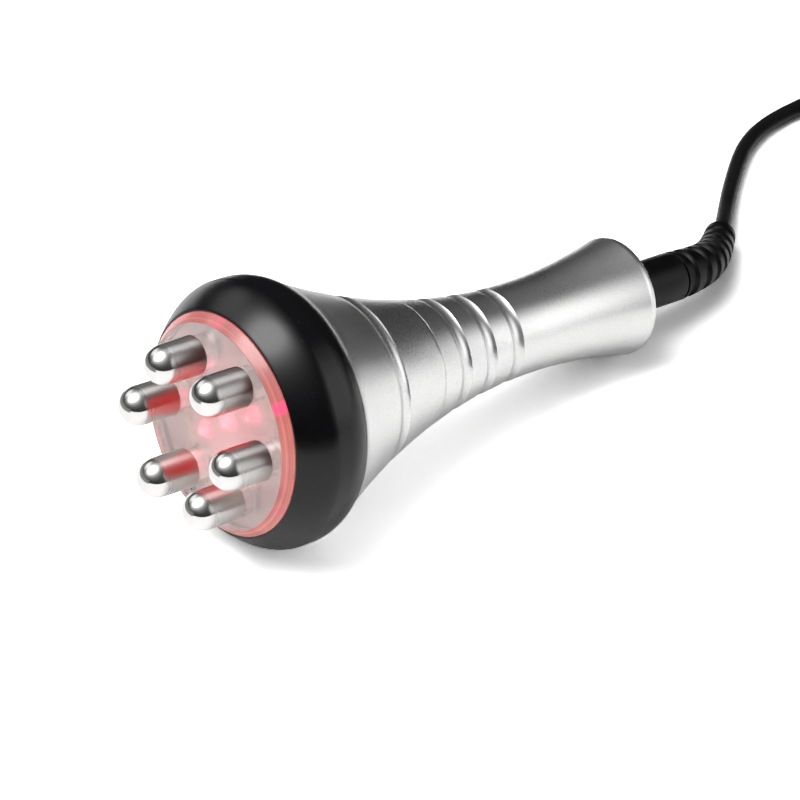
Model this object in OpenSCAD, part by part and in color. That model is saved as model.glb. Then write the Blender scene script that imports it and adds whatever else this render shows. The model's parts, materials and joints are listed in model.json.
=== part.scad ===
// Six-electrode handpiece of a cavitation and radio-frequency beauty machine, lying on its side.
// The handpiece is turned about one long axis. Places along that axis are called stations:
// distances behind the face of the clear front plate, in millimetres.

/* [Front plate and electrodes] */
// Diameter of the clear front plate
plate_d = 56.2; // [52:0.2:60]
// Thickness of the front plate
plate_t = 6; // [5:0.5:8]
// How far the plate stands in front of the bezel's lip
plate_proud = 2.7; // [1.5:0.1:3]
// Radial width of the bevel round the plate's face
bevel_w = 2; // [0.5:0.1:2.5]
// Depth of that bevel along the axis
bevel_h = 2.4; // [0.5:0.1:2.6]
// Diameter of each electrode
electrode_d = 10; // [8:0.5:11]
// Length of electrode in front of the plate, dome included
electrode_out = 14.2; // [8:0.1:20]
// Width of the shoulder that seats each electrode on the plate's face
shoulder_w = 0.4; // [0.3:0.1:0.8]
// Diameter of the circle that the electrodes stand on
electrode_circle_d = 36.2; // [34:0.2:38]
// Turn of the first electrode from straight down, in degrees
electrode_turn = 26.5; // [0:0.5:59.5]
// Gap between the plate's back and the carrier's face
plate_gap = 2; // [1.5:0.1:3]
// Thickness of the adhesive gasket behind the plate's rim
gasket_t = 0.4; // [0.2:0.1:0.8]

/* [Light board] */
// Diameter of each light-emitting diode
led_d = 5; // [3:1:5]
// Height of a diode from its tip to its base
led_h = 8.6; // [7:0.1:10]
// Diameter of the circle of that ring
led_circle_d = 20.6; // [18:0.2:22]
// Turn of the first diode of the ring from straight down, in degrees
led_turn = 51.5; // [0:0.5:59.5]
// Thickness of the carrier disc that holds diodes and electrodes
carrier_t = 2; // [1.5:0.1:3]
// Diameter of the light board
board_d = 28.4; // [27:0.2:30]
// Thickness of the light board
board_t = 1.6; // [1:0.2:2]
// Diameter of the circle of the board's three screws
post_circle_d = 10.4; // [10:0.2:11]
// Thickness of the brass contact strips
strip_t = 0.4; // [0.2:0.1:0.6]
// Nominal diameter of the electrode screws
electrode_screw_d = 3; // [2.5:0.5:3.5]
// Nominal diameter of the light board's screws
board_screw_d = 2; // [1.6:0.2:2.2]

/* [Bezel] */
// Wall of the bezel at its widest
bezel_wall = 3.9; // [3:0.1:5]
// Wall of the bezel at its rear edge
bezel_rear_wall = 1.4; // [1:0.1:2]
// Length of the bezel along the axis
bezel_len = 19.2; // [17:0.2:22]
// Station where the straight land round the bezel starts
land_start = 12; // [11:0.1:13]
// Length of that land
land_len = 3; // [2:0.1:4]
// Width of the ledge that the plate is bonded to
ledge_w = 2.1; // [1.5:0.1:3]
// Thickness of that ledge
ledge_t = 1.6; // [1:0.1:2]

/* [Handle] */
// Length of the handle behind the bezel
handle_len = 110.6; // [95:0.2:130]
// Diameter of the waist
waist_d = 24; // [22:0.5:28]
// Distance of the waist behind the bezel
waist_at = 75.1; // [65:0.1:80]
// Diameter of the rear end
rear_d = 31.3; // [29:0.1:34]
// Rounding of the rear edge
rear_round = 2; // [1:0.1:3]
// Wall of the handle shells
shell_wall = 2.2; // [1.8:0.1:2.6]
// Thickness of the handle's rear wall
rear_wall_t = 3.5; // [2.5:0.1:5]
// Distance of the parting line behind the bezel
parting_at = 37.3; // [32:0.1:40]
// Length of the joint inside the parting line
joint_len = 9; // [7:0.5:10]
// Thickness that covers the joint at the parting line
joint_cover = 1.8; // [1.4:0.1:2.2]
// Width of each decorative groove
groove_w = 4; // [3:0.1:4.6]
// Depth of each decorative groove
groove_depth = 0.7; // [0.3:0.1:0.9]

/* [Cable and strain relief] */
// Diameter of the cable
cord_d = 4.5; // [4.2:0.1:4.6]
// Diameter of the strain relief's smooth collar
collar_d = 13.2; // [11:0.1:14]
// Length of that collar behind the handle
collar_len = 20; // [16:0.5:22]
// Number of ribs on the strain relief
rib_count = 7; // [5:1:8]
// Diameter of the strain relief at its tip
tip_d = 8.5; // [7:0.1:9]
// Depth of the grooves between the ribs
rib_depth = 0.9; // [0.5:0.1:1.2]
// Diameter of the neck in the handle's rear wall
neck_d = 10; // [9:0.2:10.6]
// Thickness of the flange inside that wall
flange_t = 3; // [2:0.5:4]
// Diameter of the stored coil at the middle of its turns
coil_mid_d = 53; // [52:0.5:56]
// Free space between neighbouring turns
coil_gap = 0.5; // [0.45:0.05:0.6]
// Thickness of the strap that ties the coil
tie_t = 0.6; // [0.5:0.1:0.8]
// Width of that strap
tie_w = 8; // [6:0.5:10]

/* [Plug] */
// Outside diameter of the plug's inner shell
plug_shell_d = 13; // [12.6:0.1:13.2]
// Free length of that shell in front of its snap ring
plug_nose_len = 10.2; // [9:0.2:12]
// Diameter of the coupling ring
coupling_d = 19; // [18.6:0.2:20]
// Length of the coupling ring
coupling_len = 13.5; // [12.5:0.5:14]
// Diameter of the coupling ring's inner thread
coupling_thread_d = 15.4; // [15.2:0.1:15.8]
// Diameter of the plug's back shell
back_shell_d = 16; // [15:0.2:17]
// Length of that back shell
back_shell_len = 20; // [18:0.5:24]
// Number of contacts
contact_count = 5; // [3:1:6]

/* [Hidden] */
$fn = 96;
electrode_count = 6;
led_count = 6;
eps = 0.01;

// Clearances: between fixed pieces, and round what turns.
fit_gap = 0.1;
turn_gap = 0.3;

// Stations along the handpiece.
plate_r = plate_d / 2;
recess_r = plate_r + fit_gap;
ledge_at = plate_t + gasket_t;
carrier_at = max(plate_t + plate_gap, ledge_at + ledge_t);
carrier_back = carrier_at + carrier_t;
ledge_r = plate_r - ledge_w;
carrier_rim_w = 1.8;
carrier_r = recess_r + carrier_rim_w;
bore_r = carrier_r + fit_gap;
bezel_r = bore_r + bezel_wall;
bezel_rear_r = bore_r + bezel_rear_wall;
bezel_end = plate_proud + bezel_len;
land_end = land_start + land_len;
handle_end = bezel_end + handle_len;
waist_s = bezel_end + waist_at;
waist_r = waist_d / 2;
rear_r = rear_d / 2;
parting_s = bezel_end + parting_at;
shell_step = 0.1;
shell_front_r = bezel_rear_r - shell_step;
groove_at = [19.7, 45.9, 55.5, 65.3];
groove_r = (pow(groove_w / 2, 2) + pow(groove_depth, 2)) / (2 * groove_depth);
edge_break = 0.3;

// The handle flares from its waist to both ends along parabolas. The rear one runs into the
// rounding of the rear edge.
rear_slope = atan(2 * (rear_r - waist_r) / (handle_end - rear_round - waist_s));
flare_end = handle_end - rear_round * (1 + sin(rear_slope));
flare_end_r = rear_r - rear_round * (1 - cos(rear_slope));

// The rear shoulder of the bezel is one arc, from the land to the rear edge.
shoulder_run = bezel_end - land_end;
shoulder_drop = bezel_r - bezel_rear_r;
shoulder_r = (pow(shoulder_run, 2) + pow(shoulder_drop, 2)) / (2 * shoulder_drop);
shoulder_sweep = asin(shoulder_run / shoulder_r);

// The handpiece rests on that shoulder and on the rounded rear edge. The line that touches both
// arcs is the floor, and its angle to the long axis is the tilt of the handpiece.
rest_run = handle_end - rear_round - land_end;
rest_drop = (bezel_r - shoulder_r) - (rear_r - rear_round);
tilt = atan2(rest_drop, rest_run) + asin((shoulder_r - rear_round) / norm([rest_run, rest_drop]));
face_z = land_end * sin(tilt) + (bezel_r - shoulder_r) * cos(tilt) + shoulder_r;

// The origin is midway between the foremost electrode and the rearmost point of the rear edge.
dome_at = electrode_d / 2 - electrode_out;
electrode_r = electrode_circle_d / 2;
shank_r = electrode_d / 2 - shoulder_w;
function electrode_angle(i) = electrode_turn + 360 * i / electrode_count;
foremost = min([for (i = [0 : electrode_count - 1])
    dome_at * cos(tilt) - electrode_r * cos(electrode_angle(i)) * sin(tilt)]) - electrode_d / 2;
rearmost = (handle_end - rear_round) * cos(tilt) + (rear_r - rear_round) * sin(tilt) + rear_round;
face_x = -(foremost + rearmost) / 2;

// A place given by station and offset, in the frame that the handpiece lies in.
axis_dir = [cos(tilt), 0, -sin(tilt)];
function on_axis(s) = [face_x, 0, face_z] + s * axis_dir;

// Sections of screws and electrodes.
strip_at = carrier_at - strip_t;
screw_r = electrode_screw_d / 2;
screw_len = 6;
screw_head_rim_w = 1.2;
screw_head_r = screw_r + screw_head_rim_w;
screw_head_h = 1.9;
washer_t = 0.5;
washer_rim_w = 0.3;
washer_r = screw_head_r + washer_rim_w;
strip_pad_inset = 0.6;
strip_pad_r = electrode_d / 2 - strip_pad_inset;
strip_w = 1.8;
strip_inset = 1.7;
strip_r = electrode_r - strip_inset;

// Sections of the light board.
led_r = led_d / 2;
led_setback = 0.5;
led_tip = plate_t + led_setback;
led_base = led_tip + led_h;
led_rim_w = 0.4;
led_rim_r = led_r + led_rim_w;
led_rim_h = 1;
lead_r = 0.25;
lead_offset = 1.27;
lead_out = 1.4;
board_back = led_base + board_t;
post_r = 1.8;
post_count = 3;
post_turn = led_turn + 30;
board_screw_r = board_screw_d / 2;
board_screw_len = 5;
board_screw_rim_w = 0.8;
board_screw_head_r = board_screw_r + board_screw_rim_w;
board_screw_head_h = 1.3;
resistor_r = 1.1;
resistor_len = 6;
resistor_lead = 1.2;
resistor_lift = 0.2;
resistor_count = 3;
resistor_ring_r = 10.2;
socket_size = [7.5, 5.6, 6];
socket_wall = 0.8;
socket_floor = 1.5;
socket_shift = [0, -5.4];
socket_gap = 0.2;
socket_at = board_back + lead_out + socket_gap;
led_plug_len = 8;

// The shells' joint.
joint_r = handle_r(parting_s) - joint_cover;
joint_wall = 1.6;
spigot_r = bore_r - fit_gap;
spigot_wall = 2.4;

// Inside the handle.
cable_in_s = 101;
shrink_len = 9;
shrink_wall = 0.45;
shrink_ahead = 2;
flange_in_s = handle_end - rear_wall_t - flange_t;
cord_r = cord_d / 2;
flange_rim_w = 0.8;
flange_d = collar_d + 2 * flange_rim_w;
tie_band_t = 1.4;
tie_band_w = 3.5;
tie_head_w = 4.4;
tie_head_out = 3.4;
tie_space = 0.5;
wire_r = 0.8;
fine_wire_r = 0.55;
wire_spread = 1;
led_wire_start = 1.4;
led_wire_end = 1.25;

// The cable's route on the floor, from the strain relief's tip to the coil. Its points are chosen
// by eye and count from the floor below the middle of the handle's rear end.
tip_offset = [49, 13, 5];
tip_heading = [0.78, 0.62, -0.09];
cord_points = [
    [55.1, 18, 4], [60.4, 22.7, 3], [65.4, 27.1, 2.5], [70.2, 31.1, cord_r], [75.2, 35, cord_r],
    [80.6, 39, cord_r], [87, 42.9, cord_r], [94.5, 45.9, cord_r], [103, 47.3, cord_r],
    [113, 47.5, cord_r], [125, 47.5, cord_r]
];
coil_offset = [138, 47.5, cord_r];
cord_sides = 8;
rear_place = [on_axis(handle_end)[0], 0, 0];
tip_point = rear_place + tip_offset;
coil_start = rear_place + coil_offset;

// The coil runs straight for one diameter, then turns clockwise, seen from above. It spirals in
// on the floor and out again on top of that, and ends on the side that faces away from the
// handpiece.
coil_sides = 6;
coil_rings = 24;
coil_layers = 2;
coil_turns = 8.25;
coil_pitch = cord_d + coil_gap;
turns_a_layer = coil_turns / coil_layers;
coil_out_r = coil_mid_d / 2 + turns_a_layer * coil_pitch / 2;
tie_lift = 0.3;
coil_lift = tie_t + tie_lift;
coil_x = coil_start[0] + cord_d;
coil_y = coil_start[1] - coil_out_r;
tail_len = 14;
tail_steps = 4;

// The plug lies beside the coil, at the end of the cable's tail, and points away along -Y.
plug_z = coupling_d / 2 + turn_gap;
plug_x = coil_x + coil_out_r;
plug_y = coil_y - tail_len - cord_d;
bush_len = 14;
bush_wall = 1.7;
bush_r = cord_r + bush_wall;
bush_break = 0.6;
bush_step = 1;
back_at = 8;
back_front = back_at + back_shell_len;
back_shell_r = back_shell_d / 2;
back_wall = 2.2;
plug_shell_r = plug_shell_d / 2;
shell_tail = 4;
ring_flange_t = 2;
ring_at = back_front + turn_gap;
snap_at = ring_at + ring_flange_t + turn_gap;
snap_t = 1;
snap_height = 0.85;
snap_depth = 0.4;
snap_out_r = plug_shell_r + snap_height;
snap_in_r = plug_shell_r - snap_depth;
snap_slot_w = 1.8;
nose_at = snap_at + snap_t;
plug_end = nose_at + plug_nose_len;
ring_flange_r = plug_shell_r + turn_gap;
plug_shell_wall = 1.1;
insert_r = plug_shell_r - plug_shell_wall;
insert_len = 11;
insert_recess = 0.8;
insert_seat = 0.6;
contact_r = 1;
contact_bore_r = 0.6;
contact_circle_r = 3.3;
contact_tail = 2;
clamp_wall = 1.8;
clamp_r = bush_r + clamp_wall;
clamp_len = 6;
clamp_at = 1.5;
ear_reach = 1.7;
ear_x = clamp_r + ear_reach;
ear_r = 2;
ear_t = 1.6;
clamp_screw_r = 0.9;
clamp_head_rim_w = 0.8;
clamp_head_r = clamp_screw_r + clamp_head_rim_w;
clamp_head_h = 1;
clamp_slot_w = 0.4;
knurl_count = 30;
knurl_r = 0.55;
knurl_end = 2;
ring_break = 0.6;
collet_cone = 3;
key_w = 2;
key_depth = 0.7;
key_len = 3;

// Outline helpers.
// Depth of a groove at a distance from its middle. Its floor is one arc from edge to edge.
function scoop(x) = abs(x) < groove_w / 2 ? sqrt(pow(groove_r, 2) - pow(x, 2)) - groove_r + groove_depth : 0;
function total(list, i = 0) = i < len(list) ? list[i] + total(list, i + 1) : 0;

// Radius of the handle's smooth outline at a station.
function flare_r(s) = s < waist_s
    ? waist_r + (shell_front_r - waist_r) * pow((waist_s - s) / (waist_s - bezel_end), 2)
    : waist_r + (flare_end_r - waist_r) * pow((s - waist_s) / (flare_end - waist_s), 2);

// The same with its grooves.
function handle_r(s) = flare_r(s) - total([for (g = groove_at) scoop(s - bezel_end - g)]);

// Points of a cubic curve between two ends.
function cubic(a, b, c, d, steps) = [for (i = [0 : steps]) let (t = i / steps)
    pow(1 - t, 3) * a + 3 * pow(1 - t, 2) * t * b + 3 * (1 - t) * t * t * c + pow(t, 3) * d];

// Points of an arc about a centre, in station and radius, from the top down.
function arc(centre, r, from, to, steps) = [for (i = [0 : steps])
    let (w = from + (to - from) * i / steps) centre + r * [sin(w), cos(w)]];

// A solid turned about the handpiece's axis from an outline in station and radius.
module turned(outline) {
    rotate_extrude() polygon([for (p = outline) [p[1], p[0]]]);
}

// Puts what is modelled round the long axis, face at zero, where the handpiece lies.
module lying() {
    translate([face_x, 0, face_z]) rotate([0, 90 + tilt, 0]) children();
}

// Copies round the long axis.
module around(count, turn, r) {
    for (i = [0 : count - 1]) rotate([0, 0, turn + 360 * i / count]) translate([r, 0, 0]) children();
}

// Tubes swept along points.
function unit(v) = v / norm(v);
function heading(p, i) = unit(p[min(i + 1, len(p) - 1)] - p[max(i - 1, 0)]);

// One ring of points round a centre, square to its heading.
function ring(c, dir, up, r, sides) =
    let (side = unit(cross(dir, up)), top = cross(side, dir))
    [for (k = [0 : sides - 1]) let (w = 360 * (k + 0.5) / sides) c + r * (cos(w) * side + sin(w) * top)];

// A closed tube through the points, with one radius for each and flat ends.
module swept(path, radii, sides, up = [0, 0, 1]) {
    n = len(path);
    walls = [for (i = [0 : n - 2], k = [0 : sides - 1])
        let (a = i * sides + k, b = i * sides + (k + 1) % sides)
        each [[a, a + sides, b], [b, a + sides, b + sides]]];
    first = [for (k = [1 : sides - 2]) [0, k, k + 1]];
    last = [for (k = [1 : sides - 2]) let (z = (n - 1) * sides) [z, z + k + 1, z + k]];
    polyhedron(
        points = [for (i = [0 : n - 1]) each ring(path[i], heading(path, i), up, radii[i], sides)],
        faces = concat(walls, first, last)
    );
}

// The bezel and what it holds.
lip_w = 0.5;
front_slope = 43;
front_pull = 4.2;
land_pull = 2.4;
module bezel() {
    lip = [plate_proud, recess_r + lip_w];
    front = cubic(lip, lip + front_pull * [cos(front_slope), sin(front_slope)],
        [land_start - land_pull, bezel_r], [land_start, bezel_r], 14);
    rear = arc([land_end, bezel_r - shoulder_r], shoulder_r, 0, shoulder_sweep, 12);
    color("#111214") lying() turned(concat(
        [[plate_proud, recess_r]], front, rear,
        [[bezel_end, bore_r], [carrier_at, bore_r], [carrier_at, ledge_r],
         [ledge_at, ledge_r], [ledge_at, recess_r]]
    ));
}

module front_plate() {
    color("#e8b9b4", 0.6) lying() difference() {
        turned([[0, 0], [0, plate_r - bevel_w], [bevel_h, plate_r], [plate_t, plate_r], [plate_t, 0]]);
        around(electrode_count, electrode_turn, electrode_r)
            translate([0, 0, -eps]) cylinder(r = shank_r + fit_gap, h = plate_t + 2 * eps);
    }
}

module plate_gasket() {
    color("#e9e4e0") lying() translate([0, 0, plate_t]) difference() {
        cylinder(r = plate_r, h = gasket_t);
        translate([0, 0, -eps]) cylinder(r = ledge_r, h = gasket_t + 2 * eps);
    }
}

// One electrode: a rod with a round nose, then a shank through the plate with a tapped hole in its foot.
shoulder_break = 0.4;
module electrode(i) {
    r = electrode_d / 2;
    color("#c9ccd0") lying() rotate([0, 0, electrode_angle(i - 1)]) translate([electrode_r, 0, 0])
        difference() {
            rotate_extrude() {
                polygon([[0, dome_at], [r, dome_at], [r, -shoulder_break], [r - shoulder_break, 0], [0, 0]]);
                translate([0, -eps]) square([shank_r, strip_at + eps]);
                translate([0, dome_at]) intersection() {
                    circle(r = r);
                    translate([0, -r]) square([r, r]);
                }
            }
            translate([0, 0, strip_at - screw_len]) cylinder(r = screw_r + fit_gap / 2, h = screw_len + eps);
        }
}

module electrode_screws() {
    color("#b9bcc0") lying() around(electrode_count, electrode_turn, electrode_r)
        translate([0, 0, carrier_back + washer_t]) difference() {
            union() {
                translate([0, 0, -screw_len]) cylinder(r = screw_r, h = screw_len + eps);
                cylinder(r = screw_head_r, h = screw_head_h);
            }
            translate([0, 0, screw_head_h / 2]) linear_extrude(screw_head_h) screw_cross(screw_head_r);
        }
}

// The cross recess of a screw's head.
module screw_cross(r) {
    square([1.3 * r, 0.24 * r], center = true);
    square([0.24 * r, 1.3 * r], center = true);
}

// The middle electrode of each strip carries a wire, and the screws of the others have washers.
strip_group = electrode_count / 2;
function has_wire(i) = i % strip_group == 1;
module electrode_washers() {
    color("#a7a9ac") lying() for (i = [0 : electrode_count - 1]) if (!has_wire(i))
        rotate([0, 0, electrode_angle(i)]) translate([electrode_r, 0, carrier_back]) difference() {
            cylinder(r = washer_r, h = washer_t);
            translate([0, 0, -eps]) cylinder(r = screw_r + fit_gap, h = washer_t + 2 * eps);
        }
}

// Ring terminals under the screws with a wire, each with a tab that the wire is soldered to.
tab_len = 6.5;
tab_w = 2.4;
module wire_terminals() {
    color("#d8cfae") lying() for (i = [0 : electrode_count - 1]) if (has_wire(i))
        rotate([0, 0, electrode_angle(i)]) translate([electrode_r, 0, carrier_back]) difference() {
            union() {
                cylinder(r = washer_r, h = washer_t);
                translate([0, -tab_w / 2, 0]) cube([tab_len, tab_w, washer_t]);
            }
            translate([0, 0, -eps]) cylinder(r = screw_r + fit_gap, h = washer_t + 2 * eps);
        }
}

// A brass strip that joins the feet of three neighbouring electrodes.
module contact_strip(first) {
    span = 360 * (strip_group - 1) / electrode_count;
    color("#9a7440") lying() translate([0, 0, strip_at]) difference() {
        union() {
            rotate([0, 0, electrode_angle(first)]) rotate_extrude(angle = span)
                translate([strip_r - strip_w / 2, 0]) square([strip_w, strip_t]);
            for (i = [first : first + strip_group - 1])
                rotate([0, 0, electrode_angle(i)]) translate([electrode_r, 0, 0])
                    cylinder(r = strip_pad_r, h = strip_t);
        }
        for (i = [first : first + strip_group - 1])
            rotate([0, 0, electrode_angle(i)]) translate([electrode_r, 0, -eps])
                cylinder(r = screw_r + fit_gap, h = strip_t + 2 * eps);
    }
}

module contact_strip_a() {
    contact_strip(0);
}

module contact_strip_b() {
    contact_strip(strip_group);
}

// The disc behind the plate. It carries the electrodes, and its posts carry the light board.
module carrier_disc() {
    color("#d9cfcc") lying() difference() {
        union() {
            translate([0, 0, carrier_at]) cylinder(r = carrier_r, h = carrier_t);
            around(post_count, post_turn, post_circle_d / 2)
                translate([0, 0, carrier_back - eps]) cylinder(r = post_r, h = led_base - carrier_back + eps);
        }
        around(electrode_count, electrode_turn, electrode_r)
            translate([0, 0, carrier_at - eps]) cylinder(r = screw_r + fit_gap, h = carrier_t + 2 * eps);
        led_places() translate([0, 0, carrier_at - eps])
            cylinder(r = led_r + fit_gap, h = carrier_t + 2 * eps);
        around(post_count, post_turn, post_circle_d / 2) translate([0, 0, board_back - board_screw_len])
            cylinder(r = board_screw_r + fit_gap / 2, h = board_screw_len);
    }
}

// The light board.
module led_places() {
    children();
    around(led_count, led_turn, led_circle_d / 2) children();
}

// Diode 1 is in the middle, and the others follow round the ring.
module led(i) {
    color("#ff3a3a") lying() rotate([0, 0, led_turn + 360 * i / led_count])
        translate([i == 1 ? 0 : led_circle_d / 2, 0, 0]) {
            rotate_extrude() {
                translate([0, led_tip + led_r]) square([led_r, led_h - led_r]);
                translate([0, led_base - led_rim_h]) square([led_rim_r, led_rim_h]);
                translate([0, led_tip + led_r]) intersection() {
                    circle(r = led_r);
                    translate([0, -led_r]) square([led_r, led_r]);
                }
            }
            for (x = [-lead_offset, lead_offset])
                translate([x, 0, led_base - eps])
                    cylinder(r = lead_r, h = board_t + lead_out + eps, $fn = 24);
        }
}

module light_board() {
    color("#2f6b3a") lying() difference() {
        translate([0, 0, led_base]) cylinder(r = board_d / 2, h = board_t);
        around(post_count, post_turn, post_circle_d / 2)
            translate([0, 0, led_base - eps]) cylinder(r = board_screw_r + fit_gap, h = board_t + 2 * eps);
        for (i = [1 : led_count + 1]) rotate([0, 0, led_turn + 360 * i / led_count])
            translate([i == 1 ? 0 : led_circle_d / 2, 0, 0]) for (x = [-lead_offset, lead_offset])
                translate([x, 0, led_base - eps])
                    cylinder(r = lead_r + fit_gap, h = board_t + 2 * eps, $fn = 24);
    }
}

module board_screws() {
    color("#b9bcc0") lying() around(post_count, post_turn, post_circle_d / 2)
        translate([0, 0, board_back]) difference() {
            union() {
                translate([0, 0, -board_screw_len]) cylinder(r = board_screw_r, h = board_screw_len + eps);
                cylinder(r = board_screw_head_r, h = board_screw_head_h);
            }
            translate([0, 0, board_screw_head_h / 2])
                linear_extrude(board_screw_head_h) screw_cross(board_screw_head_r);
        }
}

// Resistors on the board's back, each on two bent leads.
module led_resistors() {
    reach = resistor_len / 2 + resistor_lead;
    lift = resistor_r + resistor_lift;
    color("#7fa9c9") lying() around(resistor_count, post_turn + 60, resistor_ring_r)
        translate([0, 0, board_back]) {
            translate([0, 0, lift]) rotate([90, 0, 0])
                cylinder(r = resistor_r, h = resistor_len, center = true);
            translate([0, 0, lift]) rotate([90, 0, 0])
                cylinder(r = lead_r, h = 2 * reach, center = true, $fn = 24);
            for (y = [-reach, reach]) translate([0, y, 0])
                cylinder(r = lead_r, h = lift + lead_r, $fn = 24);
        }
}

module board_socket() {
    size = socket_size;
    color("#eeeae0") lying() translate([socket_shift[0], socket_shift[1], socket_at]) difference() {
        union() {
            translate([-size[0] / 2, -size[1] / 2, 0]) cube(size);
            for (x = [-led_wire_start, led_wire_start]) translate([x, 0, board_back - socket_at])
                cylinder(r = lead_r, h = socket_at - board_back + eps, $fn = 24);
        }
        translate([-size[0] / 2 + socket_wall, -size[1] / 2 + socket_wall, socket_floor])
            cube([size[0] - 2 * socket_wall, size[1] - 2 * socket_wall, size[2]]);
    }
}

module led_plug() {
    width = socket_size[0] - 2 * socket_wall - 2 * fit_gap;
    depth = socket_size[1] - 2 * socket_wall - 2 * fit_gap;
    color("#f4f2ea") lying()
        translate([socket_shift[0] - width / 2, socket_shift[1] - depth / 2, socket_at + socket_floor])
        cube([width, depth, led_plug_len]);
}

// The two handle shells.
// Stations between two ends, close enough for a smooth outline and closer in the grooves.
outline_step = 1.6;
groove_steps = 10;
function near_groove(s) = len([for (g = groove_at) if (abs(s - bezel_end - g) <= groove_w / 2 + 0.2) 1]) > 0;
function plain_stations(a, b) = let (n = ceil((b - a) / outline_step))
    [for (i = [0 : n]) let (s = a + (b - a) * i / n) if (!near_groove(s)) s];
function groove_stations(a, b) = [for (g = groove_at) let (m = bezel_end + g) if (m > a && m < b)
    for (i = [0 : groove_steps]) m + groove_w * (i / groove_steps - 0.5)];
function between(list, low, high) = [for (s = list) if (s >= low && s < high) s];
function sorted(list) = len(list) < 2 ? list :
    let (mid = list[floor(len(list) / 2)])
    concat(sorted([for (s = list) if (s < mid) s]), [mid], sorted([for (s = list) if (s > mid) s]));
function outer_line(a, b) = [for (s = sorted(concat(plain_stations(a, b), groove_stations(a, b))))
    [s, handle_r(s)]];
function inner_line(a, b, limit) = let (n = ceil((b - a) / (2 * outline_step)))
    [for (i = [n : -1 : 0]) let (s = a + (b - a) * i / n) [s, min(limit, flare_r(s) - shell_wall)]];

module front_shell() {
    hollow_r = spigot_r - spigot_wall;
    joint_bore = joint_r + fit_gap;
    joint_floor = parting_s - joint_len - fit_gap;
    color("#c2c4c6") lying() turned(concat(
        [[bezel_end, shell_front_r - edge_break]],
        outer_line(bezel_end + edge_break, parting_s - edge_break),
        [[parting_s, handle_r(parting_s) - edge_break], [parting_s, joint_bore], [joint_floor, joint_bore]],
        inner_line(bezel_end, joint_floor, hollow_r),
        [[carrier_back, hollow_r], [carrier_back, spigot_r], [bezel_end, spigot_r]]
    ));
}

module rear_shell() {
    inner_end = handle_end - rear_wall_t;
    corner = arc([handle_end - rear_round, rear_r - rear_round], rear_round, -rear_slope, 90, 8);
    color("#c2c4c6") lying() turned(concat(
        [[parting_s, joint_r], [parting_s, handle_r(parting_s) - edge_break]],
        outer_line(parting_s + edge_break, flare_end - edge_break),
        corner,
        [[handle_end, neck_d / 2 + fit_gap], [inner_end, neck_d / 2 + fit_gap]],
        inner_line(parting_s + joint_cover, inner_end, rear_r),
        [[parting_s, joint_r - joint_wall], [parting_s - joint_len, joint_r - joint_wall],
         [parting_s - joint_len, joint_r]]
    ));
}

// Wiring inside the handle. Its points are across, across and station.
solder_inset = 2.2;
solder_r = electrode_r + tab_len - solder_inset;
function round_axis(angle, r, s) = [r * cos(angle), r * sin(angle), s];
gather_ahead = 3;
gather_s = parting_s - joint_len - gather_ahead;
function eased(t) = t * t * (3 - 2 * t);
module lead_wire(from, to, start_s, end_s, r) {
    steps = 12;
    low = start_s + 2 * r;
    path = concat(
        [[from[0], from[1], start_s]],
        [for (i = [0 : steps]) let (t = i / steps)
            [from[0] + (to[0] - from[0]) * eased(t), from[1] + (to[1] - from[1]) * eased(t),
                low + t * (gather_s - low)]],
        [[to[0], to[1], end_s]]
    );
    lying() swept(path, [for (p = path) r], 6, [1, 0, 0]);
}

module rf_wire(i, to) {
    from = round_axis(electrode_angle(i), solder_r, 0);
    lead_wire(from, to, carrier_back + washer_t, cable_in_s, wire_r);
}

module rf_wire_a() {
    color("#b3262b") rf_wire(1, [0, wire_spread]);
}

module rf_wire_b() {
    color("#222226") rf_wire(1 + strip_group, [0, -wire_spread]);
}

module led_wires() {
    start_s = socket_at + socket_floor + led_plug_len;
    color("#c9a33a") for (side = [-1, 1])
        lead_wire([socket_shift[0] + side * led_wire_start, socket_shift[1]], [side * led_wire_end, 0],
            start_s, cable_in_s, fine_wire_r);
}

module heat_shrink() {
    color("#1b1b1d") lying() translate([0, 0, cable_in_s - shrink_ahead]) difference() {
        cylinder(r = cord_r + shrink_wall, h = shrink_len);
        translate([0, 0, -eps]) cylinder(r = cord_r, h = shrink_len + 2 * eps);
    }
}

module inner_cable() {
    color("#18181a") lying() translate([0, 0, cable_in_s])
        cylinder(r = cord_r, h = flange_in_s - cable_in_s);
}

// A cinched tie that stops the cable from being pulled out, with its square head.
module pull_tie() {
    color("#e6e4dc") lying() translate([0, 0, flange_in_s - tie_band_w - tie_space]) difference() {
        union() {
            cylinder(r = cord_r + tie_band_t, h = tie_band_w);
            translate([cord_r + fit_gap, -tie_head_w / 2, 0])
                cube([tie_head_out, tie_head_w, tie_band_w]);
        }
        translate([0, 0, -eps]) cylinder(r = cord_r, h = tie_band_w + 2 * eps);
    }
}

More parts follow.
